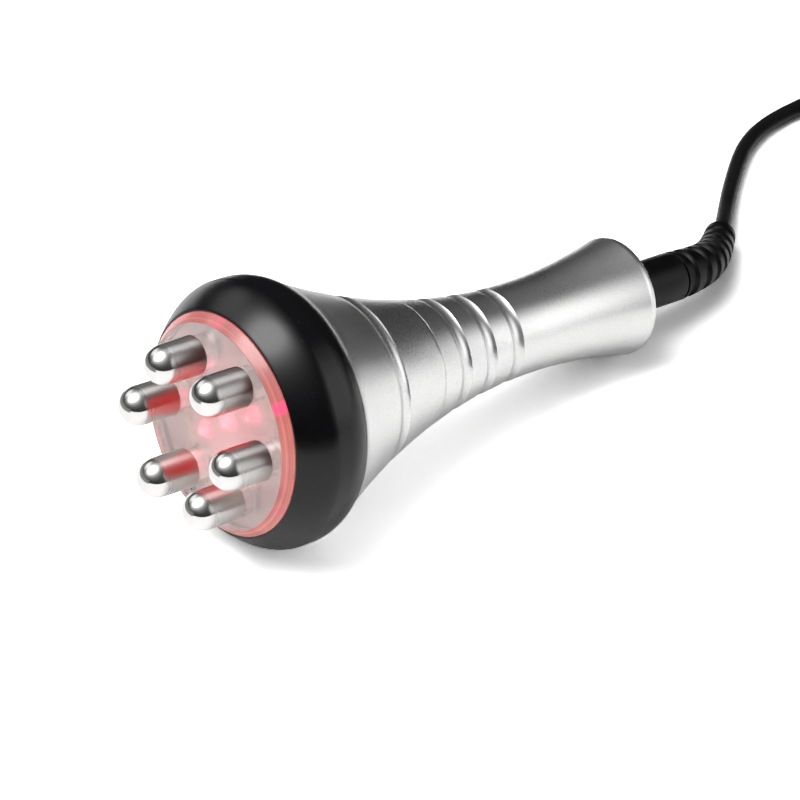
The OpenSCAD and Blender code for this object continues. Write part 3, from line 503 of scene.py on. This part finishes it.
def lathe(name, line, sides, place=LYING, index=None, angle=32):
    """Turns a closed outline round the axis. index(station, radius) gives a face's material."""
    bm = bmesh.new()
    rings = []
    for station, radius in line:
        count = 1 if radius < 1e-6 else sides
        rings.append([bm.verts.new((radius * MM * math.cos(2 * math.pi * k / sides),
                                    radius * MM * math.sin(2 * math.pi * k / sides), station * MM))
                      for k in range(count)])
    for i, ring in enumerate(rings):
        other = rings[(i + 1) % len(rings)]
        middle = (Vector(line[i]) + Vector(line[(i + 1) % len(line)])) / 2
        for k in range(sides):
            j = (k + 1) % sides
            if len(ring) == 1 and len(other) == 1:
                break
            if len(ring) == 1:
                corners = (ring[0], other[j], other[k])
            elif len(other) == 1:
                corners = (ring[k], ring[j], other[0])
            else:
                corners = (ring[k], ring[j], other[j], other[k])
            face = bm.faces.new(corners)
            if index:
                face.material_index = index(*middle)
    mesh = closed_mesh(bm, name)
    mesh.transform(place)
    smooth(mesh, angle)
    return link(name, mesh)


# The cable. Its route repeats the source's points, in millimetres.
CORD_D = 4.5
COIL_X, COIL_Y, COIL_R = 215.151, 10.6875, 36.8125
COIL_TURNS, COIL_LAYERS, COIL_PITCH, COIL_LIFT = 8.25, 2, 5.0, 0.9
POINTS_PER_TURN = 24
RUN = vectors((121.651, 13, 5), (123.405, 14.394, 4.798), (127.751, 18, 4), (133.051, 22.7, 3),
              (138.051, 27.1, 2.5), (142.851, 31.1, 2.25), (147.851, 35, 2.25), (153.251, 39, 2.25),
              (159.651, 42.9, 2.25), (167.151, 45.9, 2.25), (175.651, 47.3, 2.25),
              (185.651, 47.5, 2.25), (197.651, 47.5, 2.25), (206.151, 47.5, 2.25),
              (210.651, 47.5, 2.25))
TIP_AT = RUN[0]
PLUG_AT = Vector((251.963, -7.8125, 9.8))
TAIL = 14
TAIL_STEPS = 4


def coil_point(u):
    """The place after u turns: inwards on the floor, then up a layer and outwards again."""
    layer = COIL_TURNS / COIL_LAYERS
    inward = COIL_PITCH * (u if u < layer else 2 * layer - u)
    climbed = eased(min(max((u - layer) / 0.5 + 0.5, 0), 1))
    height = CORD_D / 2 + COIL_LIFT * eased(min(u / 0.2, 1)) + COIL_PITCH * climbed
    angle = math.radians(90 - 360 * u)
    radius = COIL_R - inward
    return Vector((COIL_X + radius * math.cos(angle), COIL_Y + radius * math.sin(angle), height))


def cable_route():
    steps = round(COIL_TURNS * POINTS_PER_TURN)
    points = RUN + [coil_point(i * COIL_TURNS / steps) for i in range(steps + 1)]
    top = points[-1]
    for i in range(1, TAIL_STEPS + 1):
        t = i / TAIL_STEPS
        points.append(Vector((top.x, top.y - TAIL * t, top.z + (PLUG_AT.z - top.z) * eased(t))))
    return points + [PLUG_AT]


def curve_piece(name, points, radius):
    data = bpy.data.curves.new(name, "CURVE")
    data.dimensions = "3D"
    data.bevel_depth = radius * MM
    data.bevel_resolution = 5
    data.resolution_u = 6
    data.use_fill_caps = True
    spline = data.splines.new("BEZIER")
    spline.bezier_points.add(len(points) - 1)
    for knot, point in zip(spline.bezier_points, points):
        knot.co = point * MM
        knot.handle_left_type = "AUTO"
        knot.handle_right_type = "AUTO"
    return link(name, data)


cable = dressed(curve_piece("cable", cable_route(), CORD_D / 2), "cable_black", "cord_run", "cord_coil")


# Strain relief: collar, ribbed bend and tip in one smooth skin.
COLLAR_END = 152.5
TIP_DIR = Vector((0.78, 0.62, -0.09)).normalized()
BEND_PULL = 13
BEND_STEPS = 168
RIBS = 7
RIB_SHIFT = 0.375
RIB_DEPTH = 0.95
RELIEF_D, TIP_D = 13.2, 8.5
COLLAR = ((126.0, 7.1), (126.3, 7.4), (128.7, 7.4), (129.0, 7.1), (129.0, 5.0), (132.6, 5.0),
          (132.6, 6.0), (132.68, 6.12), (132.85, 6.22), (133.25, 6.55), (133.4, 6.6),
          (134.2, 6.62), (140.0, 6.62), (146.0, 6.62), (151.3, 6.62), (151.7, 6.55),
          (152.0, 6.4), (152.25, 6.1))
# The tip's round: how far each ring stands before the tip, and how much smaller it is.
TIP_ROUND = ((0.31, 0.04), (0.14, 0.12), (0.04, 0.28), (0.0, 0.45), (0.0, 1.6))


def relief_rings():
    """Centres, directions and radii of the relief's rings, from inside the handle to the tip."""
    rings = [(on_axis(station), AXIS, radius) for station, radius in COLLAR]
    start = on_axis(COLLAR_END)
    knots = (start, start + AXIS * BEND_PULL, TIP_AT - TIP_DIR * BEND_PULL, TIP_AT)
    for i in range(BEND_STEPS + 1):
        t = i / BEND_STEPS
        ahead = cubic(*knots, min(t + 0.004, 1)) - cubic(*knots, max(t - 0.004, 0))
        valley = max(0.0, math.cos(2 * math.pi * (t * RIBS - RIB_SHIFT)))
        depth = RIB_DEPTH * min(1.0, 1.35 * valley ** 0.8) if t * RIBS < RIBS - 0.1 else 0
        radius = (RELIEF_D + (TIP_D - RELIEF_D) * t) / 2
        rings.append((cubic(*knots, t), ahead.normalized(), radius - depth))
    rings += [(TIP_AT - TIP_DIR * before, TIP_DIR, TIP_D / 2 - drop) for before, drop in TIP_ROUND]
    return rings


def tube_through(name, rings, sides):
    """A closed skin through rings, each a centre, a direction and a radius."""
    bm = bmesh.new()
    side = Vector((0, 1, 0))
    loops = []
    for at, ahead, radius in rings:
        side = (side - ahead * side.dot(ahead)).normalized()
        other = ahead.cross(side)
        loops.append([bm.verts.new((at + side * radius * math.cos(2 * math.pi * k / sides)
                                    + other * radius * math.sin(2 * math.pi * k / sides)) * MM)
                      for k in range(sides)])
    for a, b in zip(loops, loops[1:]):
        for k in range(sides):
            j = (k + 1) % sides
            bm.faces.new((a[k], a[j], b[j], b[k]))
    for loop in (loops[0], loops[-1]):
        bm.faces.new(loop)
    mesh = closed_mesh(bm, name)
    smooth(mesh, 48)
    return link(name, mesh)


dressed(tube_through("relief_boot", relief_rings(), 64), "relief_rubber", "strain_relief")


# Bezel: a bowl whose flare runs over a straight land into a rounded skirt.
MOUTH = Vector((2.7, 28.7))
MOUTH_RISE = Vector((math.cos(math.radians(43)), math.sin(math.radians(43))))
LAND_R = 34
LAND_FROM, LAND_TO = 12, 15
SKIRT_ARC_R = 10.772
SKIRT_SWEEP = 39.83


def bezel_line():
    land = Vector((LAND_FROM, LAND_R))
    pulls = (MOUTH + MOUTH_RISE * 4.2, land - Vector((2.4, 0)))
    line = vectors((2.7, 28.2), (2.62, 28.28), (2.58, 28.4), (2.6, 28.55))
    line += [cubic(MOUTH, *pulls, land, i / 24) for i in range(25)]
    line += vectors((13.5, LAND_R), (LAND_TO, LAND_R))
    for i in range(1, 17):
        a = math.radians(90 - SKIRT_SWEEP * i / 16)
        line.append(Vector((LAND_TO + SKIRT_ARC_R * math.cos(a),
                            LAND_R - SKIRT_ARC_R + SKIRT_ARC_R * math.sin(a))))
    return line + vectors((22.0, 31.35), (21.95, 31.25), (21.9, 31.2), (21.9, 30.1),
                          (8, 30.1), (8, 26), (6.4, 26), (6.4, 28.2))


dressed(lathe("bezel_bowl", bezel_line(), 256), "bezel_black", "bezel")


# Clear plate, with the painted glow on its bevel and rim and a hole for each electrode.
PLATE_R = 28.1
PLATE_FACE_R = 26.1
PLATE_BEVEL = 2.4
PLATE_THICK = 6


def cut(piece, cutters):
    for cutter in cutters:
        change = piece.modifiers.new("cut", "BOOLEAN")
        change.operation = "DIFFERENCE"
        change.solver = "EXACT"
        change.object = cutter
    shaped = piece.evaluated_get(bpy.context.evaluated_depsgraph_get())
    shape = bpy.data.meshes.new_from_object(shaped)
    piece.modifiers.clear()
    piece.data = shape
    for cutter in cutters:
        bpy.data.objects.remove(cutter)


def plate_index(station, radius):
    """1 on the bevel and rim, 0 on the face and back."""
    return int(radius > PLATE_FACE_R - 0.05 and station < PLATE_THICK - 0.1)


plate_line = rounded_line([(0, 0), (0, PLATE_FACE_R), (PLATE_BEVEL, PLATE_R), (PLATE_THICK, PLATE_R),
                           (PLATE_THICK, 0)], {1: 0.25, 2: 0.3, 3: 0.2}, 4)
plate = lathe("plate_clear", plate_line, 192, index=plate_index)
hole_r = SHANK_R + 0.1
hole_line = [(-1, 0), (-1, hole_r), (PLATE_THICK + 1, hole_r), (PLATE_THICK + 1, 0)]
holes = [lathe("bore_%d" % i, hole_line, 64, place=electrode_place(i)) for i in range(ELECTRODES)]
for key in ("clear_plate", "plate_edge"):
    plate.data.materials.append(MATERIALS[key])
bpy.context.view_layer.update()
cut(plate, holes)
smooth(plate.data, 25)
dressed(plate, "clear_plate", "front_plate")


# Electrodes: a round nose, a rod, a shoulder on the plate and a shank through it.
def electrode_line():
    line = []
    for degrees in range(0, 90, 5):
        a = math.radians(degrees)
        line.append(Vector((DOME_AT - ELECTRODE_R * math.cos(a), ELECTRODE_R * math.sin(a))))
    return line + vectors((DOME_AT, ELECTRODE_R), (-0.4, ELECTRODE_R), (-0.3, 4.96), (-0.05, 4.7),
                          (0, 4.65), (0, SHANK_R), (STRIP_AT, SHANK_R), (STRIP_AT, 0))


for i in range(ELECTRODES):
    rod = lathe("electrode_pin_%d" % (i + 1), electrode_line(), 96, place=Matrix())
    rod.matrix_world = electrode_place(i)
    # Mirror images of the rods would stand as dark drips on the noses of the others.
    rod.visible_glossy = False
    dressed(rod, "electrode_metal", "electrode_%d" % (i + 1))


# Handle: two silver shells with soft grip grooves, the rear one's sleeve inside the front one.
SHELL_FROM = 21.9
WAIST_AT, WAIST_R = 97, 12
FLARE_LEN, FLARE_RISE = 75.1, 19.4
TAIL_LEN, TAIL_RISE = 33.07, 3.604
TAIL_TO = WAIST_AT + TAIL_LEN
WALL = 2.2
PARTING = 59.2
EDGE = 0.06
SLEEVE_FROM, SLEEVE_R, SLEEVE_GAP = 50.1, 15.1, 0.12
GROOVES = (41.6, 67.8, 77.4, 87.2)
GROOVE_HALF = 2.0
GROOVE_DEPTH = 0.7
GROOVE_R = (GROOVE_HALF ** 2 + GROOVE_DEPTH ** 2) / (2 * GROOVE_DEPTH)
GROOVE_STEPS = 12
END_ROUND = 2
END_SWEEP = 77.71


def flare_r(s):
    if s < WAIST_AT:
        return WAIST_R + FLARE_RISE * ((WAIST_AT - s) / FLARE_LEN) ** 2
    return WAIST_R + TAIL_RISE * ((s - WAIST_AT) / TAIL_LEN) ** 2


def handle_r(s):
    away = min(abs(s - g) for g in GROOVES)
    if away >= GROOVE_HALF:
        return flare_r(s)
    return flare_r(s) - (math.sqrt(GROOVE_R ** 2 - away ** 2) - GROOVE_R + GROOVE_DEPTH)


def outer_points(start, end, step=1.5):
    """The outer skin, with closer points across each groove."""
    marks = {start, end}
    s = start
    while s < end:
        marks.add(s)
        s += step
    for g in GROOVES:
        for k in range(-GROOVE_STEPS, GROOVE_STEPS + 1):
            s = g + GROOVE_HALF * k / GROOVE_STEPS
            if start < s < end:
                marks.add(s)
    return [Vector((s, handle_r(s))) for s in sorted(marks)]


def inner_points(start, end, most=math.inf, count=12):
    """The inner skin from end to start, no wider than most."""
    stations = [start + (end - start) * k / count for k in range(count + 1)]
    return [Vector((s, min(flare_r(s) - WALL, most))) for s in reversed(stations)]


def broken(s_from, s_to, r):
    """A small round on an edge, from the end face to the side."""
    way = s_to - s_from
    return [Vector((s_from + way * (1 - math.cos(a)), r - EDGE + EDGE * math.sin(a)))
            for a in (0, math.radians(30), math.radians(60))]


parting_r = handle_r(PARTING)
front_line = (broken(SHELL_FROM, 22.2, 31.4) + outer_points(22.2, PARTING - EDGE)
              + broken(PARTING, PARTING - EDGE, parting_r)[::-1]
              + vectors((PARTING, SLEEVE_R + SLEEVE_GAP), (SLEEVE_FROM, SLEEVE_R + SLEEVE_GAP))
              + inner_points(SHELL_FROM, SLEEVE_FROM, 27.6)
              + vectors((10, 27.6), (10, 30), (SHELL_FROM, 30)))
dressed(lathe("handle_front", front_line, 224), "handle_silver", "front_shell")

end_line = []
for k in range(1, 10):
    a = math.radians(END_SWEEP - END_SWEEP * k / 9)
    end_line.append(Vector((130.5 + END_ROUND * math.cos(a), 13.65 + END_ROUND * math.sin(a))))
rear_line = (broken(PARTING, PARTING + EDGE, parting_r) + outer_points(PARTING + EDGE, TAIL_TO)
             + end_line + vectors((132.5, 5.25), (132.35, 5.1), (129, 5.1)) + inner_points(61, 129)
             + vectors((PARTING, 13.5), (SLEEVE_FROM + 0.1, 13.5), (SLEEVE_FROM + 0.1, SLEEVE_R),
                       (PARTING, SLEEVE_R)))
dressed(lathe("handle_rear", rear_line, 224), "handle_silver", "rear_shell")


# Strap round the coil: a band with round corners.
STRAP_INNER, STRAP_OUTER = 13.2375, 39.7625
STRAP_TOP = 10.4
STRAP_CORNER = 2.0
STRAP_TURN = 200
# The band's section: places across its width and above its inner face.
STRAP_SECTION = ((-4, 0.08), (-4, 0.45), (-3.85, 0.6), (3.85, 0.6), (4, 0.45), (4, 0.08),
                 (3.85, 0), (-3.85, 0))


def strap_loop(grow):
    """The strap's round-cornered way round the coil, grown outwards."""
    near, far = STRAP_INNER + STRAP_CORNER, STRAP_OUTER - STRAP_CORNER
    low, high = COIL_LIFT + STRAP_CORNER, STRAP_TOP - STRAP_CORNER
    r = STRAP_CORNER + grow
    line = []
    for cx, cy, first in ((far, high, 0), (near, high, 90), (near, low, 180), (far, low, 270)):
        for k in range(9):
            a = math.radians(first + 90 * k / 8)
            line.append((cx + r * math.cos(a), cy + r * math.sin(a)))
    return line


def strap():
    bm = bmesh.new()
    rings = [[bm.verts.new((out * MM, across * MM, up * MM)) for out, up in strap_loop(grow)]
             for across, grow in STRAP_SECTION]
    for i, ring in enumerate(rings):
        other = rings[(i + 1) % len(rings)]
        for k in range(len(ring)):
            j = (k + 1) % len(ring)
            bm.faces.new((ring[k], ring[j], other[j], other[k]))
    mesh = closed_mesh(bm, "coil_strap")
    mesh.transform(Matrix.Translation(Vector((COIL_X, COIL_Y, 0)) * MM)
                   @ Matrix.Rotation(math.radians(STRAP_TURN), 4, "Z"))
    smooth(mesh, 40)
    return link("coil_strap", mesh)


dressed(strap(), "strap_black", "coil_tie")


# Studio: floor, lamps and a dim room. Lengths here are in metres.
FLOOR_HALF = 6
# How bright the floor is for the camera alone, behind the handle and under the head; the extra
# brightness under the head is painted light that pales the shadow there.
FLOOR_REAR, FLOOR_HEAD = 1.3, 2.1
# Painted glow under the head, for the camera alone.
HEAD_GLOW = 0.2
# The room's light, from the horizon up to the zenith.
ROOM = (0.06, 0.27)


def floor():
    """White paper. The camera sees it overexposed, as the photograph does, and white far away."""
    bm = bmesh.new()
    bmesh.ops.create_grid(bm, x_segments=1, y_segments=1, size=FLOOR_HALF)
    piece = link("floor", to_mesh(bm, "floor"))
    n = material("floor_white")
    seen = n.add("LightPath").outputs["Is Camera Ray"]
    x = n.split()["X"]
    tone = n.mix(n.ramp(n.noise(4, 2.0), 0.3, 0.7), grey(0.90), grey(0.91))
    # Painted light: the camera sees the floor brighter under the head than behind the handle.
    bright = n.mix(n.ramp(x, 0.09, 0.0), grey(FLOOR_REAR), grey(FLOOR_HEAD))
    paper = n.add("BsdfDiffuse", Color=n.mix(seen, tone, bright)).outputs[0]
    level = n.math("ADD", n.ramp(x, 0.05, -0.06, 0.0, HEAD_GLOW), n.ramp(n.length(n.coord), 0.45, 1.0))
    both = n.add("AddShader")
    n.put(both.inputs[0], paper)
    n.put(both.inputs[1], n.glow(grey(1), n.math("MULTIPLY", seen, level)))
    piece.data.materials.append(n.end(both.outputs[0]))


def world():
    """A dim room, lighter overhead, that the camera sees as white."""
    scene.world = bpy.data.worlds.new("room")
    n = Nodes(scene.world, "OutputWorld")
    way = n.add("SeparateXYZ", Vector=n.add("TexCoord").outputs["Generated"]).outputs["Z"]
    light = n.ramp(n.math("MULTIPLY", way, way), 0.0, 1.0, *ROOM)
    room = n.add("Background", Color=grey(0.8), Strength=light).outputs[0]
    white = n.add("Background", Color=grey(1), Strength=1.0).outputs[0]
    n.end(n.either(n.add("LightPath").outputs["Is Camera Ray"], room, white))


def direction(azimuth, elevation):
    a, e = math.radians(azimuth), math.radians(elevation)
    return Vector((math.cos(e) * math.cos(a), math.cos(e) * math.sin(a), math.sin(e)))


def lamp(name, place, size, radiance):
    """An oval soft box that the camera doesn't see, with the radiance of its face."""
    data = bpy.data.lights.new(name, "AREA")
    data.shape = "ELLIPSE"
    data.size, data.size_y = size
    data.energy = radiance * math.pi * (math.pi / 4 * size[0] * size[1])
    piece = link(name, data)
    piece.matrix_world = place
    piece.visible_camera = False


def soft_box(name, azimuth, elevation, *ovals, distance=2.0):
    """Ovals one in another for a soft edge, each given as wide and high in degrees and its radiance."""
    way = direction(azimuth, elevation)
    turn = way.to_track_quat("Z", "Y").to_matrix().to_4x4()
    for k, (wide, high, radiance) in enumerate(ovals):
        size = [2 * distance * math.tan(math.radians(a) / 2) for a in (wide, high)]
        place = Matrix.Translation(way * (distance - 0.002 * k)) @ turn
        lamp("%s_%d" % (name, k), place, size, radiance)


def for_mirrors(piece):
    """Only mirrors see the piece, and it isn't part of the object."""
    for key in ("camera", "diffuse", "transmission", "shadow", "volume_scatter"):
        setattr(piece, "visible_" + key, False)


def flag(name, middle, low_az, high_az, height, tone, radius=0.19, count=24):
    """A dim curved screen that only mirrors see, as the studio's unlit side."""
    bm = bmesh.new()
    rows = []
    for k in range(count + 1):
        a = math.radians(low_az + (high_az - low_az) * k / count)
        x, y = middle[0] + radius * math.cos(a), middle[1] + radius * math.sin(a)
        rows.append([bm.verts.new((x, y, z)) for z in (0.0005, height)])
    for a, b in zip(rows, rows[1:]):
        bm.faces.new((a[0], b[0], b[1], a[1]))
    piece = link(name, to_mesh(bm, name))
    n = material(name)
    shade = n.ramp(n.noise(5, 2.0), 0.3, 0.7, tone * 0.85, tone * 1.15)
    piece.data.materials.append(n.end(n.glow(grey(1), shade)))
    for_mirrors(piece)


def diode_lamps():
    """A small lamp before each diode's tip, for the pink halo on the white carrier."""
    for k in range(RING_LEDS + 1):
        name = "diode_%d" % (k + 1)
        data = bpy.data.lights.new(name, "POINT")
        data.energy = 0.0007
        data.shadow_soft_size = 1.2 * MM
        data.color = (1.0, 0.2, 0.3)
        piece = link(name, data)
        reach = LED_CIRCLE_R if k else 0
        piece.location = LYING @ on_circle(reach, LED_TURN + 360 / RING_LEDS * k, LED_TIP - 0.9)
        for key in ("camera", "transmission", "glossy"):
            setattr(piece, "visible_" + key, False)


def mirror_glow():
    """What the rods' sides mirror, a painted reflection: the plate's red middle and its rim, dark above
    and lit below.
    """
    bm = bmesh.new()
    bmesh.ops.create_circle(bm, cap_ends=True, segments=96, radius=25 * MM)
    piece = link("mirror_glow", to_mesh(bm, "mirror_glow"))
    piece.matrix_world = LYING @ Matrix.Translation((0, 0, -0.1 * MM))
    n = material("mirror_glow")
    # Painted shade and light in the reflected rim: dark above, lit below.
    down = n.ramp(n.split()["X"], -6 * MM, 8 * MM)
    rim = n.mix(down, rgb(0.07, 0.045, 0.04), rgb(0.62, 0.54, 0.50))
    tone = n.mix(n.ramp(n.length(n.coord), 12 * MM, 17 * MM), rgb(1.0, 0.07, 0.07), rim)
    tone = n.mix(n.ramp(n.noise(200, 2.0), 0.3, 0.7, 0.0, 0.3), tone, rgb(0.3, 0.03, 0.03))
    behind = n.add("NewGeometry").outputs["Backfacing"]
    clear = n.add("BsdfTransparent").outputs[0]
    piece.data.materials.append(n.end(n.either(behind, clear, n.glow(tone, 1.2))))
    for_mirrors(piece)


floor()
world()
soft_box("key", 153, 65, (130, 100, 0.06), (104, 88, 0.12), (82, 76, 0.35), (60, 62, 0.9),
         (44, 48, 2.7), (30, 34, 5.6))
soft_box("fill", -44, 20, (70, 66, 0.46), (50, 50, 0.56), (34, 34, 0.56))
soft_box("side", 100, 33, (42, 30, 0.5), (28, 20, 0.6))
flag("flag_far", (0, 0), -5, 78, 0.088, 0.03)
flag("flag_left", (-0.06, 0), 84, 186, 0.065, 0.3)
diode_lamps()
mirror_glow()
